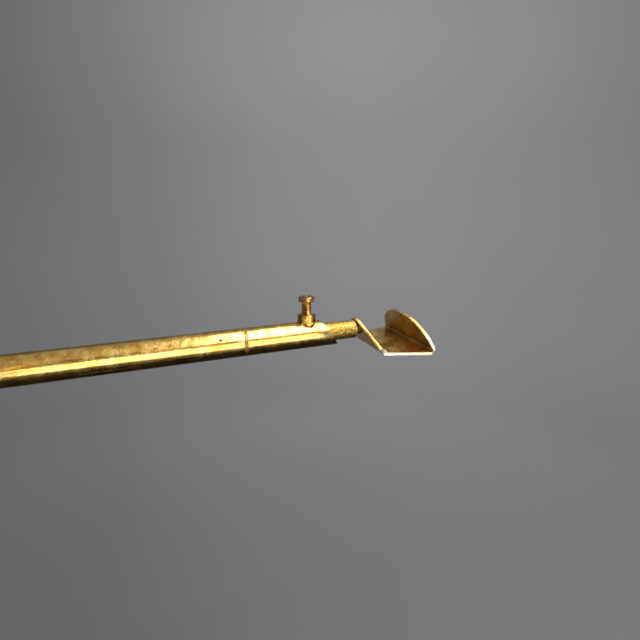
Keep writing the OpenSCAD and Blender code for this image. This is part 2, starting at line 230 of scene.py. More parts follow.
def draw_line(name: str, points: Sequence[Point]) -> Piece:
    """Draws a line of edges in the XZ plane by extruding one vertex from point to point.

    Args:
        name: The new piece's name.
        points: The line's corners as (x, z) in mm.

    Returns:
        The piece, open in edit mode.
    """
    deselect()
    bpy.ops.mesh.primitive_plane_add(size=MM)
    piece = bpy.context.object
    piece.name = name
    edit(piece)
    bpy.ops.mesh.merge(type="CENTER")
    bpy.ops.transform.translate(value=(points[0][0] * MM, 0, points[0][1] * MM))
    for (x0, z0), (x1, z1) in zip(points, points[1:]):
        step = ((x1 - x0) * MM, 0, (z1 - z0) * MM)
        bpy.ops.mesh.extrude_vertices_move(TRANSFORM_OT_translate={"value": step})
    return piece


def turned(name: str, outline: Sequence[Point], steps: int = SMALL_FACETS) -> Piece:
    """Turns a piece on the lathe: a line in the XZ plane is spun round the Z axis.

    Args:
        name: The new piece's name.
        outline: Corners as (radius, height) in mm, from the axis to the axis or back to the start.
        steps: Facets round the piece.

    Returns:
        The closed piece.
    """
    piece = draw_line(name, outline)
    bpy.ops.mesh.select_all(action="SELECT")
    bpy.ops.mesh.spin(steps=steps, angle=FULL_TURN, center=(0, 0, 0), axis=(0, 0, 1))
    close_edit()
    tidy_mesh(piece)
    return piece


def pipe(inner: float, outer: float, ends: Point, edge: float,
         steps: int = TUBE_FACETS) -> Piece:
    """Turns a plain tube with broken ends.

    Args:
        inner: Bore radius in mm.
        outer: Outside radius in mm.
        ends: Lower and upper end in mm.
        edge: Width of the broken edges in mm.
        steps: Facets round the tube.

    Returns:
        The tube, upright.
    """
    low, high = ends
    piece = turned("pipe", [(inner, low), (outer, low), (outer, high), (inner, high), (inner, low)],
                   steps)
    return soften(piece, edge, 50)


def plug_outline(corners: Iterable[Point]) -> list[Point]:
    """Returns a solid's outline: its corners, led from the axis and back to it."""
    points = list(corners)
    return [(0, points[0][1]), *points, (0, points[-1][1])]


def blank(radius: float, low: float, high: float,
          steps: int = FITTING_FACETS) -> Piece:
    """Returns a plain round bar, upright, between two levels in mm."""
    return turned("blank", plug_outline([(radius, low), (radius, high)]), steps)


def drill(piece: Piece, radius: float, low: float, high: float,
          turn: Matrix = Matrix.Identity(4), steps: int = 48) -> None:
    """Drills a round hole through a piece.

    Args:
        piece: The object to drill.
        radius: The hole's radius in mm.
        low: Where the drill's tip is, in mm along its own axis.
        high: Where the drill's body ends, in mm.
        turn: Turns and moves the drill from the Z axis.
        steps: Facets round the hole.
    """
    cut_away(piece, place(blank(radius, low, high, steps), turn))


def block(name: str, low: Sequence[float], high: Sequence[float]) -> Piece:
    """Makes a squared block between two corners in mm.

    Args:
        name: The new piece's name.
        low: Its lowest corner.
        high: Its highest corner.

    Returns:
        The block.
    """
    middle = [(a + b) / 2 * MM for a, b in zip(low, high)]
    sides = [(b - a) * MM for a, b in zip(low, high)]
    deselect()
    bpy.ops.mesh.primitive_cube_add(size=1, location=middle, scale=sides)
    piece = bpy.context.object
    piece.name = name
    bpy.ops.object.transform_apply(location=True, rotation=True, scale=True)
    return piece


# ---------------------------------------------------------------- finishes


def linear(hex_colour: str) -> tuple[float, float, float, float]:
    """Turns an sRGB hex colour to linear light.

    Args:
        hex_colour: Six hex digits.

    Returns:
        Red, green, blue and an alpha of one.
    """
    channels = [int(hex_colour[i:i + 2], 16) / 255 for i in (0, 2, 4)]
    light = [c / 12.92 if c <= 0.04045 else ((c + 0.055) / 1.055) ** 2.4 for c in channels]
    return (*light, 1.0)


def per_metre(size: float) -> float:
    """Returns the noise scale whose features are about size mm across."""
    return 1 / (size * MM)


class Recipe:
    """A material's node tree while it is put together."""

    def __init__(self, name: str) -> None:
        """Starts a material of that name with a bare principled shader.

        Args:
            name: The material's name.
        """
        self.material = bpy.data.materials.new(name)
        self.material.use_nodes = True
        self.tree = self.material.node_tree
        self.shader = self.tree.nodes["Principled BSDF"]

    def add(self, kind: str, inputs: dict | None = None, **settings: object) -> bpy.types.Node:
        """Adds a node.

        Args:
            kind: The node's type, without its ShaderNode prefix.
            inputs: Values, or sockets to link from, by input name or number.
            settings: The node's own settings.

        Returns:
            The node.
        """
        node = self.tree.nodes.new("ShaderNode" + kind)
        for name, value in settings.items():
            setattr(node, name, value)
        for key, value in (inputs or {}).items():
            self.feed(node, key, value)
        return node

    def feed(self, node: bpy.types.Node, key: str | int, value: object) -> None:
        """Links a socket to a node's input, or sets the input to a value.

        Args:
            node: The node that is fed.
            key: The input's name or number.
            value: A socket to link from, or a value.
        """
        if isinstance(value, bpy.types.NodeSocket):
            self.tree.links.new(value, node.inputs[key])
        else:
            node.inputs[key].default_value = value


@dataclass(frozen=True)
class MetalFinish:
    """One metal surface: its colour, its mottling, its scratches, its pits and its edges lightened,
    partly by wear and partly by painted highlight.

    Sizes are in mm. Depths are how far the surface rises and falls.
    """

    name: str
    bright: str
    dull: str
    # edge colour: partly edge wear, partly a painted highlight on the broken edges
    edge_wear_and_highlight: str
    smooth: float
    rough: float
    mottle: float
    grain: float
    grain_depth: float
    grain_run: tuple[float, float, float] = (1, 1, 1)
    # colour that concave places are darkened toward
    hollow_colour: str = "3C2A10"
    pit: float = 1.2
    pit_depth: float = 0.01
    pit_share: float = 0.33

    def make(self) -> bpy.types.Material:
        """Puts the finish together as nodes.

        Returns:
            The material.
        """
        r = Recipe(self.name)
        place_at = r.add("TexCoord").outputs["Object"]
        mottle = r.add("TexNoise", {
            "Vector": place_at, "Scale": per_metre(self.mottle), "Detail": 4.0, "Roughness": 0.6,
        }).outputs[0]
        run = r.add("Mapping", {"Vector": place_at, "Scale": self.grain_run}).outputs[0]
        grain = r.add("TexNoise", {
            "Vector": run, "Scale": per_metre(self.grain), "Detail": 3.0, "Roughness": 0.55,
        }).outputs[0]
        spots = r.add("TexNoise", {
            "Vector": place_at, "Scale": per_metre(self.pit), "Detail": 2.0, "Roughness": 0.7,
        }).outputs[0]
        pits = r.add("MapRange", {
            "Value": spots, "From Min": self.pit_share, "From Max": self.pit_share + 0.07,
        }).outputs[0]
        patches = r.add("MapRange", {
            "Value": mottle, "From Min": 0.36, "From Max": 0.64,
        }).outputs[0]
        tone = r.add("Mix", {
            "Factor": patches, 6: linear(self.dull), 7: linear(self.bright),
        }, data_type="RGBA").outputs[2]
        pitted = r.add("Mix", {"Factor": pits, 6: linear(self.dull), 7: tone},
                       data_type="RGBA").outputs[2]
        bend = r.add("NewGeometry").outputs["Pointiness"]
        # painted highlight: pointed edges are mixed toward the near-white edge colour, partly edge
        # wear and partly painted highlight
        edge = r.add("MapRange", {
            "Value": bend, "From Min": 0.53, "From Max": 0.62, "To Max": 0.8,
        }).outputs[0]
        # concave places, found by pointiness, are darkened toward the hollow colour
        hollow_darkening = r.add("MapRange", {
            "Value": bend, "From Min": 0.47, "From Max": 0.4, "To Max": 0.85,
        }).outputs[0]
        wear_and_highlight_mix = r.add("Mix", {"Factor": edge, 6: pitted, 7: linear(self.edge_wear_and_highlight)},
                       data_type="RGBA").outputs[2]
        colour = r.add("Mix", {"Factor": hollow_darkening, 6: wear_and_highlight_mix, 7: linear(self.hollow_colour)},
                       data_type="RGBA").outputs[2]
        polish = r.add("MapRange", {
            "Value": r.add("Math", {0: mottle, 1: grain}, operation="MULTIPLY").outputs[0],
            "From Min": 0.12, "From Max": 0.4, "To Min": self.smooth, "To Max": self.rough,
        }).outputs[0]
        scratches = r.add("Bump", {
            "Height": grain, "Distance": self.grain_depth * MM, "Strength": 1.0,
        }).outputs[0]
        surface = r.add("Bump", {
            "Height": pits, "Distance": self.pit_depth * MM, "Strength": 1.0, "Normal": scratches,
        }).outputs[0]
        r.shader.inputs["Metallic"].default_value = 1.0
        for key, value in (("Base Color", colour), ("Roughness", polish), ("Normal", surface)):
            r.feed(r.shader, key, value)
        return r.material


@dataclass(frozen=True)
class RubberFinish:
    """Moulded rubber, matt and faintly dusty, with the fine sparkle of its mould."""

    name: str
    colour: str
    dust: str
    grain: float
    patch: float

    def make(self) -> bpy.types.Material:
        """Puts the finish together as nodes.

        Returns:
            The material.
        """
        r = Recipe(self.name)
        place_at = r.add("TexCoord").outputs["Object"]
        patch = r.add("TexNoise", {
            "Vector": place_at, "Scale": per_metre(self.patch), "Detail": 4.0,
        }).outputs[0]
        grain = r.add("TexNoise", {
            "Vector": place_at, "Scale": per_metre(self.grain), "Detail": 2.0,
        }).outputs[0]
        dusting = r.add("MapRange", {
            "Value": patch, "From Min": 0.45, "From Max": 0.75, "To Max": 0.35,
        }).outputs[0]
        tone = r.add("Mix", {"Factor": dusting, 6: linear(self.colour), 7: linear(self.dust)},
                     data_type="RGBA").outputs[2]
        matt = r.add("MapRange", {"Value": patch, "To Min": 0.55, "To Max": 0.85}).outputs[0]
        bump = r.add("Bump", {"Height": grain, "Distance": 0.03 * MM, "Strength": 0.6}).outputs[0]
        r.shader.inputs["IOR"].default_value = 1.52
        for key, value in (("Base Color", tone), ("Roughness", matt), ("Normal", bump)):
            r.feed(r.shader, key, value)
        return r.material


# Polished brass tube under old gilt lacquer. Close to a mirror, so it carries the lights as long
# bands, but pitted and patchy, so the bands break up into speckles and brown flecks.
POLISHED_TUBE = MetalFinish(
    name="lacquered_brass_tube", bright="F0CF7C", dull="C89A48", edge_wear_and_highlight="FFEDB8",
    smooth=0.1, rough=0.24, mottle=5, grain=0.5, grain_depth=0.006, pit=0.55, pit_depth=0.02,
    pit_share=0.4,
)
# Rolled brass sheet. Deeper in colour, with the rolling marks as soft streaks along the folds and
# cut edges painted nearly white, partly polish and partly painted highlight.
ROLLED_SHEET = MetalFinish(
    name="rolled_brass_sheet", bright="ECC878", dull="BC8C44", edge_wear_and_highlight="FFF8E0",
    smooth=0.22, rough=0.42, mottle=9, grain=0.9, grain_depth=0.006, grain_run=(0.16, 1, 1),
    pit=1.1, pit_depth=0.006, pit_share=0.3,
)
# The soldered ring at the seam. Sunk a hair below the tube, so the lacquer has gone from it and
# dirt has settled there, which reads as one fine dark line with brighter specks.
TARNISHED_RING = MetalFinish(
    name="tarnished_brass_ring", bright="CCA85C", dull="4E3818", edge_wear_and_highlight="D8B870",
    smooth=0.35, rough=0.6, mottle=1.2, grain=0.4, grain_depth=0.006, pit=0.5, pit_depth=0.02,
    pit_share=0.45,
)
# Machined brass nuts and screws. Redder gold with dark flats and broken edges painted bright,
# partly wear and partly painted highlight.
MACHINED_HARDWARE = MetalFinish(
    name="machined_brass_hardware", bright="D8AA56", dull="7C5224", edge_wear_and_highlight="FFEDB8",
    smooth=0.16, rough=0.38, mottle=3, grain=0.35, grain_depth=0.004, pit=0.7, pit_depth=0.008,
)
# Drawn rod that has slid in its socket for years. Scuffed along its length and mottled.
SCUFFED_ROD = MetalFinish(
    name="drawn_brass_rod", bright="CDAA58", dull="80622A", edge_wear_and_highlight="FFEDB8",
    smooth=0.34, rough=0.58, mottle=1.6, grain=0.6, grain_depth=0.11, grain_run=(1, 0.5, 1),
    pit=0.8, pit_depth=0.05, pit_share=0.44,
)
# Cast and turned brass fittings. A little duller than the tube, with faint tool marks.
TURNED_FITTING = MetalFinish(
    name="turned_brass_fitting", bright="DEBD6C", dull="8E7030", edge_wear_and_highlight="FFE6A0",
    smooth=0.22, rough=0.45, mottle=6, grain=0.5, grain_depth=0.006, pit=0.9, pit_depth=0.01,
)
# Blackened steel pin, nearly black with a dull shine.
BLACK_PIN = MetalFinish(
    name="blackened_steel_pin", bright="2A2620", dull="14110E", edge_wear_and_highlight="6A6258",
    smooth=0.4, rough=0.6, mottle=1, grain=0.2, grain_depth=0.004,
)
# Black moulded rubber. Soft sheen and dust in the low places.
MOULDED_RUBBER = RubberFinish(
    name="moulded_black_rubber", colour="17171A", dust="6B675F", grain=0.35, patch=9,
)


Finish = MetalFinish | RubberFinish


class Slot(Enum):
    """The record's material slots, each with its finish."""

    GILT_TUBE = ("gilt_tube", POLISHED_TUBE)
    GILT_SHEET = ("gilt_sheet", ROLLED_SHEET)
    GILT_HARDWARE = ("gilt_hardware", MACHINED_HARDWARE)
    DRAWN_ROD = ("drawn_rod", SCUFFED_ROD)
    TURNED_BRASS = ("turned_brass", TURNED_FITTING)
    STEEL_PIN = ("steel_pin", BLACK_PIN)
    FOOT_RUBBER = ("foot_rubber", MOULDED_RUBBER)


# ---------------------------------------------------------------- the stand's pieces


def spread(first: float, last: float, steps: int) -> list[float]:
    """Returns steps + 1 even values from first to last."""
    return [first + (last - first) * i / steps for i in range(steps + 1)]


class Store:
    """Models each kind of piece once and sets copies of it in the stand."""

    def __init__(self) -> None:
        """Starts with no pieces and no materials."""
        self.masters: dict[str, Piece] = {}
        self.materials: dict[str, bpy.types.Material] = {}

    def finish(self, look: Finish) -> bpy.types.Material:
        """Returns a finish's material, made the first time it is asked for.

        Args:
            look: The finish.

        Returns:
            The material.
        """
        if look.name not in self.materials:
            self.materials[look.name] = look.make()
        return self.materials[look.name]

    def master(self, kind: str, make: Callable[[], Piece]) -> Piece:
        """Returns the modelled piece of a kind, made the first time it is asked for.

        Args:
            kind: The kind of piece.
            make: Models it.

        Returns:
            The modelled original.
        """
        if kind not in self.masters:
            self.masters[kind] = make()
        return self.masters[kind]

    def fit(self, kind: str, make: Callable[[], Piece], matrix: Matrix, node: str,
            body: str, slot: Slot, look: Finish | None = None) -> Piece:
        """Sets a copy of a piece in the stand, in place of a CAD node.

        Args:
            kind: The kind of piece, shared by pieces of one shape.
            make: Models the piece upright at the origin.
            matrix: Turns and moves it to its place.
            node: The CAD node it stands for.
            body: The body it rides on.
            slot: The material slot it belongs to.
            look: Its own finish, where that is not the slot's.

        Returns:
            The piece.
        """
        master = self.master(kind, make)
        piece = master.copy()
        piece.data = master.data.copy()
        bpy.context.collection.objects.link(piece)
        piece.name = piece.data.name = node + "_detail"
        place(piece, matrix)
        piece.data.materials.clear()
        piece.data.materials.append(self.finish(look or slot.value[1]))
        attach(piece, body)
        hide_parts(node)
        LOG.info("%s: %d faces on %s", piece.name, len(piece.data.polygons), body)
        return piece

    def clear_masters(self) -> None:
        """Throws the modelled originals away, which leaves only the copies in the stand."""
        for piece in self.masters.values():
            take(piece)
            bpy.ops.object.delete()


@dataclass
class ClampHardware:
    """The brazed hex nut and the slotted screw that lock each sliding rod or tube."""

    flats: float = 8
    nut_height: float = 4
    nut_turn: float = 40
    braze_depth: float = 1.1
    braze_foot: float = 5.0
    thread_radius: float = 2.5
    thread_depth: float = 0.36
    # a real thread of this size has a 0.8 mm pitch
    thread_pitch: float = 0.8
    free_thread: float = 6.5
    head_radius: float = 4
    head_height: float = 2.6
    slot_width: float = 0.9
    slot_depth: float = 1.1
    slot_turn: float = 68

    def nut(self, seat: float) -> Piece:
        """Models a nut with chamfered corners, standing in its fillet of braze.

        Args:
            seat: Outside radius of the tube that it stands on, in mm.

        Returns:
            The nut, upright on a tube along the X axis.
        """
        low, high = seat - self.braze_depth, seat + self.nut_height
        flat = self.flats / 2
        corner = flat / math.cos(math.radians(30))
        deselect()
        bpy.ops.mesh.primitive_cylinder_add(
            vertices=6, radius=corner * MM, depth=(high - low) * MM,
            location=(0, 0, (high + low) / 2 * MM),
            # a hexagon's own corners are 30 degrees off the X axis
            rotation=(0, 0, math.radians(self.nut_turn - 30)),
        )
        nut = bpy.context.object
        bpy.ops.object.transform_apply(location=True, rotation=True)
        chamfer = turned("chamfer", plug_outline([
            (corner + 1, low - 1), (corner + 1, high - 1), (flat - 0.15, high),
            (flat - 0.15, high + 0.01),
        ]), FITTING_FACETS)
        cut_away(nut, chamfer, "INTERSECT")
        soften(nut, 0.12, 25)
        foot = self.braze_foot
        fillet = [(foot + 0.3, seat - 3.2), (foot + 0.3, seat - 2.4), (foot, seat - 1.4),
                  (foot - 0.25, seat - 0.8), (foot - 0.55, seat - 0.35), (flat + 0.1, seat - 0.05),
                  (flat - 0.15, seat + 0.2), (flat - 0.4, seat + 0.25)]
        cut_away(nut, turned("braze", plug_outline(fillet), FITTING_FACETS), "UNION")
        cut_away(nut, place(blank(seat, -20, 20, TUBE_FACETS), Heading.ACROSS.value))
        drill(nut, self.thread_radius + RUNNING_GAP, 0, high + 2)
        soften(nut, 0, 30)
        return nut

    def screw(self, tip: float, seat: float) -> Piece:
        """Models a screw with a cut thread and a slotted cheese head.

        Args:
            tip: Where its tip is, in mm above the arm's axis.
            seat: Outside radius of the tube under the nut, in mm.

        Returns:
            The screw, upright.
        """
        base = seat + self.nut_height + self.free_thread
        top = base + self.head_height
        r = self.head_radius
        head = turned("head", plug_outline([
            (r - 0.35, base), (r, base + 0.25), (r, top - 0.55), (r - 0.22, top - 0.16),
            (r - 0.8, top - 0.03), (r * 0.4, top),
        ]), FITTING_FACETS)
        slot = place(
            block("slot", (-r - 1, -self.slot_width / 2, top - self.slot_depth),
                  (r + 1, self.slot_width / 2, top + 1)),
            round_z(self.slot_turn),
        )
        cut_away(head, slot)
        soften(head, 0.12, 40)
        turns = math.floor((base + 0.3 - tip - 2 * self.thread_pitch) / self.thread_pitch)
        crest, root = self.thread_radius, self.thread_radius - self.thread_depth
        start = tip + self.thread_pitch
        thread = draw_line("thread", [
            (root, start), (crest, start + self.thread_pitch * 0.42),
            (crest, start + self.thread_pitch * 0.58), (root, start + self.thread_pitch),
        ])
        close_edit()
        apply_modifier(
            thread, "SCREW", axis="Z", angle=FULL_TURN, screw_offset=self.thread_pitch * MM,
            iterations=turns, steps=32, render_steps=32, use_merge_vertices=True,
        )
        edit(thread)
        bpy.ops.mesh.fill_holes(sides=0)
        bpy.ops.mesh.normals_make_consistent(inside=False)
        close_edit()
        soften(thread, 0, 50)
        point = turned("point", plug_outline([
            (crest - 0.6, tip), (root, tip + 0.45), (root, start + 0.6),
        ]), 48)
        soften(point, 0, 40)
        take(head)
        thread.select_set(True)
        point.select_set(True)
        bpy.ops.object.join()
        return head

    def tap(self, piece: Piece, turn: Matrix) -> None:
        """Drills the screw's hole through one wall of a piece."""
        drill(piece, self.thread_radius + RUNNING_GAP, 0, 20, turn)

    def lock(self, store: Store, prefix: str, seat: float, held: float, matrix: Matrix,
             body: str, screw_body: str, kind: str = "") -> None:
        """Sets a nut and its screw in the stand.

        Args:
            store: Places the pieces.
            prefix: What their CAD nodes' names begin with.
            seat: Outside radius of the tube under the nut, in mm.
            held: Radius of the piece that the screw presses on.
            matrix: Turns and moves them to their place.
            body: The body that the nut rides on.
            screw_body: The body that the screw rides on.
            kind: Prefix of their kind, where that is not the nodes' own.
        """
        kind = kind or prefix
        store.fit(kind + "nut", lambda: self.nut(seat), matrix, prefix + "nut", body,
                  Slot.GILT_HARDWARE)
        store.fit(kind + "screw", lambda: self.screw(held + TIP_GAP, seat), matrix,
                  prefix + "screw", screw_body, Slot.GILT_HARDWARE)

    def grub(self, radius: float, low: float, high: float) -> Piece:
        """Models a headless slotted screw.

        Args:
            radius: Its radius in mm.
            low: Its inner end.
            high: Its slotted end.

        Returns:
            The screw, upright.
        """
        grub = turned("grub", plug_outline([
            (radius - 0.4, low), (radius, low + 0.4), (radius, high - 0.2), (radius - 0.25, high),
        ]), 48)
        slot = block("slot", (-radius - 1, -0.35, high - 0.85), (radius + 1, 0.35, high + 1))
        cut_away(grub, slot)
        soften(grub, 0.06, 40)
        return grub


@dataclass
class LedgeSheet:
    """The folded sheet that the music stands on, and the plain bar of the back rest.

    A ledge is modelled with X across, -Y out along its arm and Z up, from where the clamp stands.
    """

    thick: float = 1.5
    fold: float = 2.6
    back_fold: float = 34.7
    lip_fold: float = 61.5
    drop: float = 9.7
    fall: float = 2
    aside: float = -1.6
    back_lean: float = 62
    lip_lean: float = 65.4
    back_half: float = 18.4
    lip_half: float = 24.9
    lip_height: float = 20.4
    top_radius: float = 6.4
    hole: float = 3.02
    rod_end: float = 26.9
    bar_width: float = 230
    bar_height: float = 26
    columns: int = 24

    def face_at(self) -> float:
        """Returns how far out the back plate's outer face crosses the rod's axis, in mm."""
        return self.back_fold - self.drop / math.tan(math.radians(self.back_lean))

    def section(self) -> list[tuple[Point, float, float]]:
        """Lays out the folded strip from the back plate's top to the lip's tip.

        Returns:
            Rows of the sheet's underside: a point (out, up), and the row's left and right ends.
        """
        lean, lip, fall = (math.radians(a) for a in (self.back_lean, self.lip_lean, self.fall))
        along = Vector((math.cos(fall), -math.sin(fall)))
        inward = Vector((math.sin(fall), math.cos(fall)))
        back_way = Vector((-math.cos(lean), math.sin(lean)))
        lip_way = Vector((-math.cos(lip), math.sin(lip)))
        level = 1.5 * math.pi - fall
        back_out, lip_out = 1.5 * math.pi - lean, 2.5 * math.pi - lip
        corner = Vector((self.back_fold, -self.drop))
        centre = corner + self.fold * (math.tan((level - back_out) / 2) * along + inward)
        run = (self.lip_fold - self.fold - centre.x) / along.x
        lip_centre = centre + run * along
        lip_corner = lip_centre + self.fold * (math.tan((lip_out - level) / 2) * along - inward)
        up = self.drop / math.sin(lean)
        rows = []
        for height in self.back_heights(up, self.fold * math.tan((level - back_out) / 2)):
            left, right = self.back_ends(height, up)
            rows.append((corner + height * back_way, left, right))
        rows += [self.fan_row(centre, a, lip_corner.x) for a in spread(back_out, level, 8)]
        foot = self.fold * math.tan((lip_out - level) / 2)
        for angle in spread(level, lip_out, 8):
            spot = self.fan_row(lip_centre, angle, lip_corner.x)[0]
            half = self.lip_end(max((spot - lip_corner).dot(lip_way), 0))
            rows.append((spot, self.aside - half, self.aside + half))
        for turn in spread(0, math.radians(88.5), 30):
            height = self.lip_height * math.sin(turn)
            if height > foot + 0.1:
                half = self.lip_end(height)
                rows.append((lip_corner + height * lip_way, self.aside - half, self.aside + half))
        return rows

    def lip_end(self, height: float) -> float:
        """Returns half the lip's width at a height above its corner, in mm."""
        return self.lip_half * math.sqrt(1 - (height / self.lip_height) ** 2)

    def back_heights(self, up: float, foot: float) -> list[float]:
        """Returns the heights of the back plate's rows, from the top down.

        Args:
            up: Height of the rod's axis along the plate, in mm.
            foot: Height at which the fold begins.

        Returns:
            Heights along the plate, in mm.
        """
        turns = spread(0.06, math.radians(118), 18)
        round_top = [up + self.top_radius * math.cos(t) for t in turns]
        straight = list(spread(up - self.top_radius * 0.6, foot, 5))
        return [h for h in round_top if h > straight[0] + 0.3] + straight

    def back_ends(self, height: float, up: float) -> Point:
        """Returns the left and right ends of the back plate's row at a height.

        Args:
            height: Height along the plate in mm.
            up: Height of the rod's axis along the plate.

        Returns:
            The left end and the right end, in mm.
        """
        ends = []
        for side in (-1, 1):
            foot = Vector((side * self.back_half + self.aside, -up))
            touch = math.atan2(foot.y, foot.x) + side * math.acos(self.top_radius / foot.length)
            met = self.top_radius * Vector((math.cos(touch), math.sin(touch)))
            y = height - up
            if y > met.y:
                ends.append(side * math.sqrt(max(self.top_radius ** 2 - y * y, 0.01)))
            else:
                ends.append(foot.x + (met.x - foot.x) * (y - foot.y) / (met.y - foot.y))
        return ends[0], ends[1]

    def fan_row(self, centre: Vector, angle: float, far: float) -> tuple[Vector, float, float]:
        """Returns one row of a fold, its ends on the floor's widening outline.

        Args:
            centre: The fold's centre, as (out, up) in mm.
            angle: Where the row is on the fold, in radians.
            far: How far out the floor's outline reaches full width.

        Returns:
            The row's point (out, up), and its left and right ends.
        """
        spot = centre + self.fold * Vector((math.cos(angle), math.sin(angle)))
        share = min(max((spot.x - self.back_fold) / (far - 4 - self.back_fold), 0), 1)
        half = self.back_half + (self.lip_half - self.back_half) * share
        return spot, self.aside - half, self.aside + half

    def bored(self, piece: Piece) -> Piece:
        """Drills the rod's hole in a sheet, breaks its edges and returns it.

        Args:
            piece: The sheet, folded and in its thickness.

        Returns:
            The same object.
        """
        drill(piece, self.hole, self.rod_end - 2, self.rod_end + 12, Heading.ALONG_ARM.value)
        return soften(piece, 0.22, 40, 3)

    def plate(self) -> Piece:
        """Models a ledge: a row of edges drawn out along the folds, then given its thickness.

        Returns:
            The ledge, level, with its arm's clamp at zero.
        """
        rows = self.section()
        deselect()
        bpy.ops.mesh.primitive_grid_add(x_subdivisions=self.columns, y_subdivisions=1, size=MM)
        piece = bpy.context.object
        edit(piece, lambda place_of: place_of.y < 0)
        bpy.ops.mesh.delete(type="VERT")
        bpy.ops.mesh.select_all(action="SELECT")
        bpy.ops.transform.translate(value=(0, -MM / 2, 0))
        spot, left, right = rows[0]
        bpy.ops.transform.resize(value=(right - left, 1, 1), center_override=(0, 0, 0))
        bpy.ops.transform.translate(
            value=((left + right) / 2 * MM, -spot[0] * MM, spot[1] * MM)
        )
        for (spot, left, right), (then, new_left, new_right) in zip(rows, rows[1:]):
            middle, new_middle = (left + right) / 2, (new_left + new_right) / 2
            step = (new_middle - middle, spot[0] - then[0], then[1] - spot[1])
            bpy.ops.mesh.extrude_edges_move(
                TRANSFORM_OT_translate={"value": [s * MM for s in step]}
            )
            bpy.ops.transform.resize(
                value=((new_right - new_left) / (right - left), 1, 1),
                center_override=(new_middle * MM, -then[0] * MM, then[1] * MM),
            )
        close_edit()
        floor = max(piece.data.polygons, key=lambda face: abs(face.normal.z) * face.area)
        if floor.normal.z < 0:
            edit(piece)
            bpy.ops.mesh.flip_normals()
            close_edit()
        apply_modifier(piece, "SOLIDIFY", thickness=self.thick * MM, offset=1, use_even_offset=True)
        return self.bored(piece)

    def bar(self) -> Piece:
        """Models the back rest's bar: a strip with round ends, leaning like the ledges' backs.

        Returns:
            The bar, leaning, with its arm's clamp at zero.
        """
        deselect()
        bpy.ops.mesh.primitive_plane_add(size=MM)
        piece = bpy.context.object
        edit(piece)
        bpy.ops.transform.resize(value=(self.bar_width, self.bar_height, 1))
        bpy.ops.mesh.bevel(
            offset=self.bar_height / 2 * MM * 0.9999, segments=20, affect="VERTICES",
        )
        close_edit()
        tidy_mesh(piece)
        apply_modifier(piece, "SOLIDIFY", thickness=self.thick * MM, offset=1)
        if min(v.co.z for v in piece.data.vertices) < -MM / 2:
            place(piece, Matrix.Translation((0, 0, self.thick * MM)))
        lean = math.radians(self.back_lean)
        # the strip's face turns from +Z to look outwards and a little up
        place(piece, Matrix.Translation((0, -self.face_at() * MM, 0))
              @ Matrix.Rotation(lean, 4, "X"))
        return self.bored(piece)


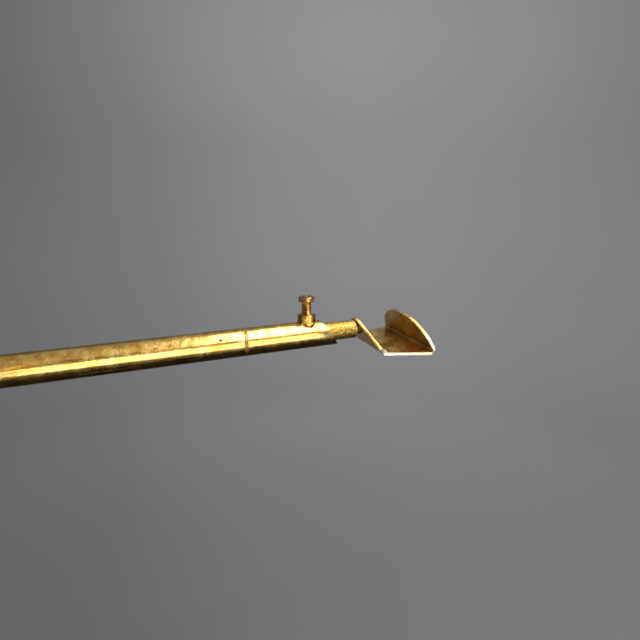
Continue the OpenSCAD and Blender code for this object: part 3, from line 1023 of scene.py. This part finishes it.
@dataclass
class ReachArm:
    """One arm that reaches forward: its tube, clamp socket, rod and lock.

    The arm's axis is upright while its pieces are modelled, and zero is where the clamp stands.
    """

    side: str
    fixed_body: str
    hardware: ClampHardware
    sheet: LedgeSheet
    store: Store
    radius: float = 7
    bore: float = 4.85
    tube_bore: float = 5.75
    spigot: float = 5.7
    ring_back: float = -33.6
    seam: float = -32
    spigot_back: float = -52
    mouth_at: float = 11.7
    mouth_slant: float = 33.5
    rod_radius: float = 4.8
    rod_end: float = 26.9
    rod_back: float = -112.3
    neck: float = 3
    stop_length: float = 6
    tail: float = 2
    pin_at: float = -45
    pin_up: float = 36
    pin_radius: float = 0.55
    place_at: Vector = field(init=False)
    tube_back: float = field(init=False)

    def __post_init__(self) -> None:
        """Finds where the arm's clamp stands in the frame."""
        ring = self.node("ring")
        self.place_at = box_middle(ring)
        self.place_at.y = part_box(ring)[1].y + self.ring_back * MM
        self.tube_back = (self.place_at.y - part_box(self.node("tube"))[1].y) / MM

    def node(self, name: str) -> str:
        """Returns the CAD node of one of the arm's pieces."""
        prefix = "rest_" if self.side == "rest" else f"{self.side}_arm_"
        return prefix + name

    def pin_hole(self) -> Matrix:
        """Returns the matrix that turns a drill along Z into the locking pin's line."""
        level = Matrix.Rotation(-math.pi / 2, 4, "Y")
        return Matrix.Translation((0, 0, self.pin_at * MM)) @ round_z(-self.pin_up) @ level

    def tube(self) -> Piece:
        """Models the arm's tube, its ends broken and the pin's hole drilled.

        Returns:
            The piece, upright at the origin.
        """
        back, front, bore, r = self.tube_back, self.ring_back, self.tube_bore, self.radius
        near, far = self.pin_at + 1.5, self.pin_at - 1.5
        # rings close to the pin keep its hole from pulling at the long facets
        piece = turned("tube", [
            (bore, back), (r, back), (r, back + 1), (r, far), (r, near), (r, front - 1), (r, front),
            (bore, front), (bore, near),
            (bore, far), (bore, back),
        ], TUBE_FACETS)
        drill(piece, self.pin_radius + 0.12, 0, 12, self.pin_hole(), 24)
        return soften(piece, 0.12, 50)

    def ring(self) -> Piece:
        """Models the ring at the seam, sunk a hair below the tube.

        Returns:
            The piece, upright at the origin.
        """
        low, high, r = self.ring_back, self.seam, self.radius
        piece = turned("ring", [
            (self.spigot + 0.02, low), (r - 0.12, low), (r - 0.12, high),
            (self.spigot + 0.02, high), (self.spigot + 0.02, low),
        ], TUBE_FACETS)
        return soften(piece, 0.05, 30)

    def socket(self) -> Piece:
        """Models the clamp socket: a sleeve with a spigot, cut off on the slant at its mouth.

        Returns:
            The piece, upright at the origin.
        """
        r, seam, long_end = self.radius, self.seam, self.mouth_at + self.radius + 4
        piece = turned("socket", [
            (self.bore, self.spigot_back), (self.spigot, self.spigot_back), (self.spigot, seam),
            (r - 0.05, seam), (r, seam + 0.05), (r, seam + 1), (r, -6), (r, -3), (r, 3),
            (r, long_end), (self.bore, long_end), (self.bore, self.spigot_back),
        ], TUBE_FACETS)
        slant = math.radians(self.mouth_slant)
        normal = Vector((0, math.sin(slant), math.cos(slant)))
        mouth = Vector((0, 0, self.mouth_at * MM))
        edit(piece)
        bpy.ops.mesh.bisect(plane_co=mouth, plane_no=normal, clear_outer=True)
        close_edit()

        def on_cut(place_of: Vector) -> bool:
            """Says whether a vertex is on the slanted cut."""
            return abs((place_of - mouth).dot(normal)) < 1e-6

        edit(piece, on_cut)
        bpy.ops.mesh.bridge_edge_loops()
        bpy.ops.mesh.select_all(action="SELECT")
        bpy.ops.mesh.normals_make_consistent(inside=False)
        close_edit()
        self.hardware.tap(piece, Matrix.Rotation(-math.pi / 2, 4, "X"))
        drill(piece, self.pin_radius + 0.12, 0, 12, self.pin_hole(), 24)
        return soften(piece, 0.14, 40)

    def pin(self) -> Piece:
        """Models the little pin that locks the socket in its tube.

        Returns:
            The pin, in its hole's line.
        """
        low, high, r = self.bore + 0.3, self.radius - 0.9, self.pin_radius
        piece = turned("pin", plug_outline([
            (r - 0.12, low), (r, low + 0.12), (r, high - 0.2), (r - 0.25, high),
        ]), 32)
        soften(piece, 0, 30)
        return place(piece, self.pin_hole())

    def stop(self) -> Piece:
        """Models the collar that stops the rod from pulling out."""
        low, high = self.rod_back - self.stop_length + 0.3, self.rod_back - 0.3
        return pipe(self.neck + RUNNING_GAP, self.spigot, (low, high), 0.3, SMALL_FACETS)

    def rod(self) -> Piece:
        """Models the sliding rod, necked behind for its collar and peened over in front.

        Returns:
            The piece, upright at the origin.
        """
        back, end, r = self.rod_back, self.rod_end, self.rod_radius
        tail = back - self.stop_length
        piece = turned("rod", plug_outline([
            (r - 0.4, tail - self.tail), (r, tail - self.tail + 0.4), (r, tail), (self.neck, tail),
            (self.neck, back), (r - 0.5, back), (r, back + 0.5), (r, back + 1.5), (r, end - 1.5),
            (r, end - 0.3), (r - 0.3, end),
            (self.neck, end), (self.neck, end + 9),
        ]), FITTING_FACETS)
        lean = math.radians(self.sheet.back_lean)
        face = self.sheet.face_at() * MM
        edit(piece)
        across = Vector((0, math.cos(lean), math.sin(lean)))
        flush = Vector((0, 0, face)) + across * (self.sheet.thick + 0.4) * MM
        bpy.ops.mesh.bisect(plane_co=flush, plane_no=across, clear_outer=True, use_fill=True)
        close_edit()
        head = turned("peened_head", plug_outline([
            (5, 0), (4.9, 0.35), (4.4, 0.85), (3.2, 1.2), (1.5, 1.3),
        ]), 64)
        place(head, Matrix.Translation(Vector((0, 0, face)) + across * self.sheet.thick * MM)
              @ Matrix.Rotation(lean - math.pi / 2, 4, "X"))
        cut_away(piece, head, "UNION")
        return soften(piece, 0, 30)

    def build(self) -> None:
        """Models the arm's pieces and sets them in place."""
        along = Heading.ALONG_ARM.at(self.place_at)
        held = "rest" if self.side == "rest" else f"{self.side}_ledge"
        fit = self.store.fit
        for name, make, slot, look in (
            ("tube", self.tube, Slot.GILT_TUBE, None),
            ("pin", self.pin, Slot.STEEL_PIN, None),
            ("ring", self.ring, Slot.GILT_TUBE, TARNISHED_RING),
            ("socket", self.socket, Slot.GILT_TUBE, None),
        ):
            kind = f"tube_{self.tube_back:.0f}" if name == "tube" else name
            fit(kind, make, along, self.node(name), self.fixed_body, slot, look)
        self.hardware.lock(self.store, self.node(""), self.radius, self.rod_radius,
                           Heading.ON_ARM.at(self.place_at), self.fixed_body,
                           f"{self.side}_screw", "arm_")
        fit("stop", self.stop, along, f"{self.side}_rod_stop", f"{self.side}_stop",
            Slot.TURNED_BRASS)
        fit("rod", self.rod, along, held + "_rod", held, Slot.DRAWN_ROD)


@dataclass
class Tripod:
    """The hub, its three bent legs on rubber feet, and the screws that hold them."""

    hardware: ClampHardware
    store: Store
    leg_radius: float = 6.95
    leg_bore: float = 7.05
    leg_circle: float = 22
    bend_radius: float = 160
    bend: float = 70
    hub_bore: float = 11.05
    hub_edge: float = 3
    foot_radius: float = 12
    foot_height: float = 11
    foot_seat: float = 5
    screw_bore: float = 2.05

    def __post_init__(self) -> None:
        """Reads the tripod's levels from the frame."""
        low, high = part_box("base_hub")
        self.hub_low, self.hub_high, self.hub_radius = low.z / MM, high.z / MM, high.x / MM
        self.leg_top = self.hub_high - 4
        self.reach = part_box("foot_rear")[1].y / MM - self.foot_radius
        slope = math.radians(self.bend)
        run = self.bend_radius * (1 - math.cos(slope))
        self.straight = (self.reach - self.leg_circle - run) / math.sin(slope)
        self.bend_top = (self.foot_height + self.straight * math.cos(slope)
                         + self.bend_radius * math.sin(slope))

    def hub(self) -> Piece:
        """Models the turned hub with its bores for the column, the legs and their screws.

        Returns:
            The hub, in its place.
        """
        low, high, r, edge = self.hub_low, self.hub_high, self.hub_radius, self.hub_edge
        piece = turned("hub", plug_outline([
            (r - edge, low), (r, low + edge), (r, low + 8), (r - 0.8, low + 8.6),
            (r - 0.8, low + 9.6), (r, low + 10.2), (r, high - 2 * edge), (r - 2 * edge, high - 0.6),
            (r - 2 * edge - 0.8, high), (self.hub_bore + 2, high),
        ]), TUBE_FACETS)
        drill(piece, self.hub_bore, low - 2, high + 2)
        middle = (low + high) / 2
        for angle in LEG_ANGLES:
            turn = round_z(angle)
            out = turn @ Matrix.Translation((self.leg_circle * MM, 0, 0))
            drill(piece, self.leg_bore, low - 2, self.leg_top, out)
            drill(piece, self.screw_bore, 24, r + 5,
                  turn @ Heading.ACROSS.at(Vector((0, 0, middle * MM))))
        return soften(piece, 0.3, 25)

    def leg(self) -> Piece:
        """Models a leg along +X: a bar drawn down, spun round its bend and drawn out.

        Returns:
            The leg, along +X at its own height.
        """
        deselect()
        slope = math.radians(self.bend)
        bpy.ops.mesh.primitive_circle_add(
            vertices=48, radius=self.leg_radius * MM, fill_type="NGON",
            location=(self.leg_circle * MM, 0, (self.leg_top - 0.2) * MM),
        )
        piece = bpy.context.object
        bpy.ops.object.transform_apply(location=True)
        edit(piece)
        bpy.ops.mesh.extrude_region_move(
            TRANSFORM_OT_translate={"value": (0, 0, (self.bend_top - self.leg_top + 0.2) * MM)}
        )
        centre = Vector(((self.leg_circle + self.bend_radius) * MM, 0, self.bend_top * MM))
        bpy.ops.mesh.spin(steps=36, angle=slope, center=centre, axis=(0, 1, 0))
        run = (self.straight - self.foot_seat - 0.3) * MM
        bpy.ops.mesh.extrude_region_move(TRANSFORM_OT_translate={
            "value": (run * math.sin(slope), 0, -run * math.cos(slope))
        })
        close_edit()
        tidy_mesh(piece)
        return soften(piece, 0.5, 50)

    def foot(self) -> Piece:
        """Models a rubber foot along +X: a ball with a flat sole, a moulded rib and a lead-in.

        Returns:
            The foot, along +X on the floor.
        """
        r = self.foot_radius
        ball = [(r * math.sin(t), r * math.cos(t)) for t in spread(0, math.radians(78), 14)]
        ball += [(r - 0.6, 0.9), (r - 0.6, -0.9)]
        ball += [(r * math.sin(t), r * math.cos(t)) for t in spread(math.radians(102), math.pi, 14)]
        tilt = math.radians(self.bend)
        piece = turned("foot", ball, 64)
        # the rib runs round the leg's line, so the ball is turned to it before its sole is cut
        centre = Matrix.Translation((self.reach * MM, 0, self.foot_height * MM))
        leg_line = centre @ Matrix.Rotation(-tilt, 4, "Y")
        place(piece, leg_line)
        edit(piece)
        bpy.ops.mesh.bisect(plane_co=(0, 0, 0), plane_no=(0, 0, 1), clear_inner=True, use_fill=True)
        close_edit()
        drill(piece, self.leg_bore, self.foot_seat, r + 3, leg_line, 64)
        return soften(piece, 0.35, 40, 3)

    def screws(self) -> Piece:
        """Models the three grub screws that hold the legs in the hub.

        Returns:
            The three screws as one piece, in their places.
        """
        middle = (self.hub_low + self.hub_high) / 2 * MM
        low, high = self.leg_circle + 7.02, self.hub_radius - 0.1
        parts = []
        for angle in LEG_ANGLES:
            grub = self.hardware.grub(2, low, high)
            parts.append(place(grub, round_z(angle) @ Heading.ACROSS.at(Vector((0, 0, middle)))))
        take(parts[0])
        for part in parts:
            part.select_set(True)
        bpy.ops.object.join()
        return parts[0]

    def build(self) -> None:
        """Models the tripod's pieces and sets them in place."""
        fit = self.store.fit
        fit("hub", self.hub, Heading.UP.value, "base_hub", "base", Slot.TURNED_BRASS)
        fit("leg_screws", self.screws, Heading.UP.value, "leg_screws", "base", Slot.GILT_HARDWARE)
        for name, angle in zip(("rear", "left", "right"), LEG_ANGLES):
            fit("leg", self.leg, round_z(angle), f"leg_{name}", "base", Slot.GILT_TUBE)
            fit("foot", self.foot, round_z(angle), f"foot_{name}", "base", Slot.FOOT_RUBBER)


@dataclass
class Column:
    """The fixed column, its plug and clamp socket, and the mast that slides and turns in it."""

    hardware: ClampHardware
    store: Store
    column_radius: float = 11
    column_bore: float = 9.5
    socket_bore: float = 8.1
    spigot: float = 9.45
    spigot_length: float = 30
    mast_radius: float = 8
    mast_bore: float = 6.75
    plug_radius: float = 6.7
    neck: float = 4
    tail_radius: float = 6
    tail: float = 2
    stop_length: float = 8

    def levels(self, node: str) -> Point:
        """Returns a node's lowest and highest level in mm."""
        low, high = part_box(node)
        return low.z / MM, high.z / MM

    def column_tube(self) -> Piece:
        """Models the column's tube."""
        return pipe(self.column_bore, self.column_radius, self.levels("column_tube"), 0.25)

    def column_plug(self) -> Piece:
        """Models the plug that closes the column under the hub.

        Returns:
            The plug, in its place.
        """
        low, high = self.levels("column_plug")
        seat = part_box("column_tube")[0].z / MM
        r = self.column_radius
        piece = turned("plug", plug_outline([
            (r - 1.2, low), (r, low + 1.2), (r, seat), (self.spigot, seat),
            (self.spigot, high - 0.5), (self.spigot - 0.5, high),
        ]))
        return soften(piece, 0, 30)

    def column_socket(self) -> Piece:
        """Models the clamp socket at the column's top, with a bead round its rim.

        Returns:
            The socket, in its place.
        """
        low, high = self.levels("column_socket")
        seat = low + self.spigot_length
        r = self.column_radius
        piece = turned("socket", [
            (self.socket_bore, low), (self.spigot, low), (self.spigot, seat), (r - 0.3, seat),
            (r, seat + 0.3), (r, seat + 3), (r - 0.35, seat + 3.4), (r - 0.35, seat + 4.2),
            (r, seat + 4.6), (r, high - 2), (r - 0.5, high - 0.9), (r - 1.5, high),
            (self.socket_bore + 0.4, high), (self.socket_bore, high - 0.5), (self.socket_bore, low),
        ], TUBE_FACETS)
        self.hardware.tap(piece, from_behind(box_middle("column_nut").z))
        return soften(piece, 0.1, 25)

    def mast_tube(self) -> Piece:
        """Models the mast's tube."""
        return pipe(self.mast_bore, self.mast_radius, self.levels("mast_tube"), 0.2)

    def mast_plug(self) -> Piece:
        """Models the plug in the mast's foot, with the neck that its stop collar turns on.

        Returns:
            The plug, in its place.
        """
        low, high = self.levels("mast_plug")
        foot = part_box("mast_tube")[0].z / MM
        piece = turned("plug", plug_outline([
            (self.tail_radius - 0.4, low), (self.tail_radius, low + 0.4),
            (self.tail_radius, low + self.tail), (self.neck, low + self.tail), (self.neck, foot),
            (self.plug_radius, foot), (self.plug_radius, high - 0.5),
            (self.plug_radius - 0.5, high),
        ]))
        return soften(piece, 0, 30)

    def mast_stop(self) -> Piece:
        """Models the collar that stops the mast from pulling out."""
        return pipe(self.neck + RUNNING_GAP, self.column_bore - RUNNING_GAP,
                    self.levels("mast_stop"), 0.4, SMALL_FACETS)

    def build(self) -> None:
        """Models the column's and the mast's pieces and sets them in place."""
        fit = self.store.fit
        for make, body, slot in (
            (self.column_tube, "base", Slot.GILT_TUBE),
            (self.column_plug, "base", Slot.TURNED_BRASS),
            (self.column_socket, "base", Slot.GILT_TUBE),
            (self.mast_tube, "mast", Slot.GILT_TUBE), (self.mast_plug, "mast", Slot.TURNED_BRASS),
            (self.mast_stop, "mast_stop", Slot.TURNED_BRASS),
        ):
            name = make.__name__
            fit(name, make, Heading.UP.value, name, body, slot)
        self.hardware.lock(self.store, "column_", self.column_radius, self.mast_radius,
                           from_behind(box_middle("column_nut").z), "base", "column_screw")


@dataclass
class Head:
    """The sliding block on the mast, the cross tube in it, and the elbows that lead to the arms."""

    hardware: ClampHardware
    store: Store
    sleeve_radius: float = 12
    sleeve_half: float = 18
    pipe_radius: float = 10.5
    pipe_half: float = 22
    mast_radius: float = 8
    tube_radius: float = 7
    tube_bore: float = 5.75
    elbow_radius: float = 11.5
    elbow_seat: float = 8

    def __post_init__(self) -> None:
        """Reads where the cross tube is from the frame."""
        self.cross_at = box_middle("cross_tube")

    def head_block(self) -> Piece:
        """Models the cast block: an upright sleeve and a level one joined by a web.

        Returns:
            The block, in its place.
        """
        z, y = self.cross_at.z / MM, self.cross_at.y / MM
        half, r = self.sleeve_half, self.sleeve_radius
        piece = blank(r, z - half, z + half)
        web_half = self.pipe_radius / 2
        web = block("web", (-r + 0.5, y, z - web_half), (r - 0.5, 0, z + web_half))
        cut_away(piece, web, "UNION")
        across = Heading.ACROSS.at(Vector((0, self.cross_at.y, self.cross_at.z)))
        level_half = self.pipe_half
        sleeve = blank(self.pipe_radius, -level_half, level_half)
        cut_away(piece, place(sleeve, across), "UNION")
        drill(piece, self.mast_radius + RUNNING_GAP, z - half - 5, z + half + 5,
              steps=FITTING_FACETS)
        drill(piece, self.tube_radius + RUNNING_GAP, -level_half - 5, level_half + 5, across,
              FITTING_FACETS)
        self.hardware.tap(piece, from_behind(self.cross_at.z))
        return soften(piece, 0.5, 40, 3)

    def elbow(self) -> Piece:
        """Models an elbow: a ball with a mouth forward and a mouth to the right, both rimmed.

        Returns:
            The elbow, its ball at the origin.
        """
        r, seat = self.elbow_radius, self.tube_radius + RUNNING_GAP
        piece = turned("elbow", [
            (r * math.sin(t), r * math.cos(t)) for t in spread(0, math.pi, 40)], FITTING_FACETS)
        for heading in (Heading.ALONG_ARM, Heading.ACROSS):
            drill(piece, seat, self.elbow_seat, r + 4, heading.value, FITTING_FACETS)
        return soften(piece, 0.3, 40, 3)

    def cross_tube(self) -> Piece:
        """Models the cross tube, upright until it is turned across."""
        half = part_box("cross_tube")[1].x / MM
        return pipe(self.tube_bore, self.tube_radius, (-half, half), 0.15)

    def build(self) -> None:
        """Models the head's pieces and sets them in place."""
        fit = self.store.fit
        fit("head_block", self.head_block, Heading.UP.value, "head_block", "head",
            Slot.TURNED_BRASS)
        fit("cross_tube", self.cross_tube,
            Heading.ACROSS.at(Vector((0, self.cross_at.y, self.cross_at.z))), "cross_tube", "head",
            Slot.GILT_TUBE)
        turned_over = Matrix.Rotation(math.pi, 4, "Y")
        for side, turn in (("left", Heading.UP.value), ("right", turned_over)):
            spot = box_middle(f"{side}_elbow")
            spot.x = math.copysign(box_middle("right_arm_tube").x, spot.x)
            spot.y, spot.z = self.cross_at.y, self.cross_at.z
            fit("elbow", self.elbow, Matrix.Translation(spot) @ turn, f"{side}_elbow", "head",
                Slot.TURNED_BRASS)
        self.hardware.lock(self.store, "head_", self.sleeve_radius, self.mast_radius,
                           from_behind(self.cross_at.z), "head", "head_screw")


@dataclass
class BackRest:
    """The tee on the mast's top, the cap behind its arm, and the bar that backs the music."""

    hardware: ClampHardware
    sheet: LedgeSheet
    arm: ReachArm
    store: Store
    radius: float = 10.5
    half: float = 12
    skirt: float = 34
    mast_seat: float = 8.02
    tube_seat: float = 7.02
    cap_flange: float = 3
    cap_plug: float = 7
    cap_seat: float = 5.73
    screw_bore: float = 2.05

    def tee(self) -> Piece:
        """Models the cast tee, bored for the mast and for the arm's tube.

        Returns:
            The tee, in its place.
        """
        z = self.arm.place_at.z / MM
        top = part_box("mast_tube")[1].z / MM
        piece = blank(self.radius, z - self.skirt, z)
        across = Matrix.Translation((0, 0, z * MM)) @ Heading.ALONG_ARM.value
        cut_away(piece, place(blank(self.radius, -self.half, self.half), across), "UNION")
        drill(piece, self.mast_seat, z - self.skirt - 5, top, steps=FITTING_FACETS)
        drill(piece, self.tube_seat, -self.half - 5, self.half + 5, across, FITTING_FACETS)
        screw_z = (top - self.half) * MM
        drill(piece, self.screw_bore, 0, 20, from_behind(screw_z))
        return soften(piece, 0.4, 40, 3)

    def cap(self) -> Piece:
        """Models the domed cap in the arm's back end, upright with its dome down.

        Returns:
            The piece, upright at the origin.
        """
        back = self.arm.tube_back
        r, end = self.arm.radius, back - self.cap_flange
        dome = [(r * math.sin(t), back - self.cap_flange * math.cos(t))
                for t in spread(0.25, math.pi / 2, 12)]
        dome[0] = (dome[0][0], end + 0.09)
        piece = turned("cap", plug_outline([
            *dome, (self.cap_seat, back), (self.cap_seat, back + self.cap_plug - 0.4),
            (self.cap_seat - 0.4, back + self.cap_plug),
        ]), FITTING_FACETS)
        return soften(piece, 0, 35)

    def build(self) -> None:
        """Models the back rest's own pieces and sets them in place."""
        fit = self.store.fit
        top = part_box("mast_tube")[1].z
        fit("tee", self.tee, Heading.UP.value, "rest_tee", "mast", Slot.TURNED_BRASS)
        fit("tee_screw", lambda: self.hardware.grub(2, 8.02, 10.4),
            from_behind(top - self.half * MM), "rest_tee_screw", "mast", Slot.GILT_HARDWARE)
        fit("cap", self.cap, Heading.ALONG_ARM.at(self.arm.place_at), "rest_cap", "mast",
            Slot.TURNED_BRASS)
        fit("bar", self.sheet.bar, Matrix.Translation(self.arm.place_at), "rest_bar", "rest",
            Slot.GILT_SHEET)


# ---------------------------------------------------------------- studio


@dataclass(frozen=True)
class Softbox:
    """One soft panel light."""

    name: str
    place_at: tuple[float, float, float]
    faces: tuple[float, float, float]
    size: tuple[float, float]
    power: float


@dataclass
class Studio:
    """The seamless cove, the soft lights and the camera."""

    clamp_at: Vector
    radius: float = 3.6
    sweep: float = 1.4
    wall: float = 4.2
    camera_offset: tuple[float, float, float] = (-0.2072, 0.0767, 0.0704)
    camera_way: tuple[float, float, float] = (0.894, -0.363, -0.274)
    lens: float = 25.31
    sensor: float = 36
    # a black card seen only in reflections, painting dark reflections on the metal
    # a hair above the floor
    reflection_card_at: tuple[float, float, float] = (-0.75, -0.75, 0.003)
    reflection_card_size: tuple[float, float] = (3.3, 2.4)
    room_colour: str = "CFD0D4"
    room_strength: float = 0.6
    softboxes: tuple[Softbox, ...] = (
        Softbox("overhead", (-0.2, -0.53, 1.6), (-0.2, -0.529, 0.9), (1.04, 0.62), 15.5),
        Softbox("front_panel", (-0.95, -0.24, 0.88), (0.1, -0.2, 0.93), (0.98, 0.78), 9),
        Softbox("wall_wash", (1.4, -0.8, 2.2), (3.4, -1.7, 1.3), (1.4, 1.4), 46),
        Softbox("wall_wash_behind", (0.2, 1.3, 2.3), (0.4, 3.5, 1.2), (1.4, 1.4), 46),
        Softbox("wall_wash_front", (-0.4, -1.7, 2.3), (-0.8, -3.5, 1.2), (1.4, 1.4), 30),
        Softbox("wall_wash_left", (-1.7, 0.5, 2.3), (-3.5, 1.0, 1.4), (1.4, 1.4), 16),
    )

    def matt(self, name: str, scale: float, dark: str, light: str,
             rough: float) -> bpy.types.Material:
        """Makes a matt stage material with a faint drift in its tone.

        Args:
            name: Its name.
            scale: Patches to the metre.
            dark: Its darker tone.
            light: Its lighter tone.
            rough: Its roughness.

        Returns:
            The material.
        """
        recipe = Recipe(name)
        drift = recipe.add("TexNoise", {
            "Vector": recipe.add("TexCoord").outputs["Object"], "Scale": scale, "Detail": 2.0,
        }).outputs[0]
        tone = recipe.add("Mix", {"Factor": drift, 6: linear(dark), 7: linear(light)},
                          data_type="RGBA").outputs[2]
        recipe.feed(recipe.shader, "Base Color", tone)
        recipe.shader.inputs["Roughness"].default_value = rough
        return recipe.material

    def cove(self) -> None:
        """Models the floor and the wall as one bowl with a swept corner."""
        sweep = self.sweep
        corner = [(self.radius - sweep + sweep * math.sin(t), sweep * (1 - math.cos(t)))
                  for t in spread(0, math.pi / 2, 16)]
        line = [(0, 0), *corner, (self.radius, self.wall)]
        piece = draw_line("studio_cove", [(x / MM, z / MM) for x, z in line])
        bpy.ops.mesh.select_all(action="SELECT")
        bpy.ops.mesh.spin(steps=96, angle=FULL_TURN, center=(0, 0, 0), axis=(0, 0, 1))
        bpy.ops.mesh.remove_doubles(threshold=MERGE_WITHIN)
        bpy.ops.mesh.normals_make_consistent(inside=True)
        close_edit()
        take(piece)
        bpy.ops.object.shade_smooth()
        piece.data.materials.append(self.matt("matt_studio_paper", 0.8, "7E7E80", "868688", 0.9))

    def dark_reflection_card(self) -> None:
        """Lays a black card under the arms that only glossy rays see: a painted dark reflection
        that keeps glare off the tubes' undersides.
        """
        deselect()
        bpy.ops.mesh.primitive_plane_add(size=1, location=self.reflection_card_at)
        card = bpy.context.object
        card.name = "painted_reflection_card"
        edit(card)
        bpy.ops.transform.resize(value=(*self.reflection_card_size, 1), center_override=card.location)
        close_edit()
        bpy.ops.object.transform_apply(location=True, rotation=True, scale=True)
        card.data.materials.append(self.matt("painted_reflection_black", 300, "080808", "141414", 1))
        # hidden from camera, shadows and diffuse light, the card is only a painted dark reflection
        # in the metal
        card.visible_camera = card.visible_shadow = card.visible_diffuse = False

    def light(self, box: Softbox) -> None:
        """Hangs one softbox.

        Args:
            box: The softbox's place, size and power.
        """
        deselect()
        bpy.ops.object.light_add(type="AREA", location=box.place_at)
        lamp = bpy.context.object
        lamp.name = box.name
        lamp.data.shape = "RECTANGLE"
        lamp.data.size, lamp.data.size_y = box.size
        lamp.data.energy = box.power
        way = Vector(box.faces) - Vector(box.place_at)
        lamp.rotation_euler = way.to_track_quat("-Z", "Y").to_euler()
        lamp.visible_camera = False

    def camera(self) -> None:
        """Sets the camera close behind the right-hand clamp, looking out along the ledge."""
        deselect()
        bpy.ops.object.camera_add(location=self.clamp_at + Vector(self.camera_offset))
        camera = bpy.context.object
        camera.rotation_euler = Vector(self.camera_way).to_track_quat("-Z", "Y").to_euler()
        camera.data.lens = self.lens
        camera.data.sensor_width = self.sensor
        camera.data.clip_start = 0.01
        bpy.context.scene.camera = camera

    def build(self) -> None:
        """Sets up the whole studio."""
        self.camera()
        self.cove()
        self.dark_reflection_card()
        for box in self.softboxes:
            self.light(box)
        world = bpy.data.worlds.new("dim_room")
        world.use_nodes = True
        background = world.node_tree.nodes["Background"].inputs
        background["Color"].default_value = linear(self.room_colour)
        background["Strength"].default_value = self.room_strength
        bpy.context.scene.world = world
        bpy.context.scene.view_settings.view_transform = "Standard"


LEG_ANGLES = (90, 210, 330)


def main() -> None:
    """Builds the stand piece by piece, then the studio."""
    logging.basicConfig(level=logging.INFO, format="%(name)s: %(message)s")
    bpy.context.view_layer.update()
    store, hardware, sheet = Store(), ClampHardware(), LedgeSheet()
    arms = {
        side: ReachArm(side, body, hardware, sheet, store)
        for side, body in (("right", "head"), ("left", "head"), ("rest", "mast"))
    }
    studio = Studio(arms["right"].place_at)
    studio.build()
    for side, arm in arms.items():
        arm.build()
        if side != "rest":
            store.fit("ledge", sheet.plate, Matrix.Translation(arm.place_at),
                      f"{side}_ledge_plate", f"{side}_ledge", Slot.GILT_SHEET)
    BackRest(hardware, sheet, arms["rest"], store).build()
    Head(hardware, store).build()
    Column(hardware, store).build()
    Tripod(hardware, store).build()
    store.clear_masters()


if __name__ == "__main__":
    main()
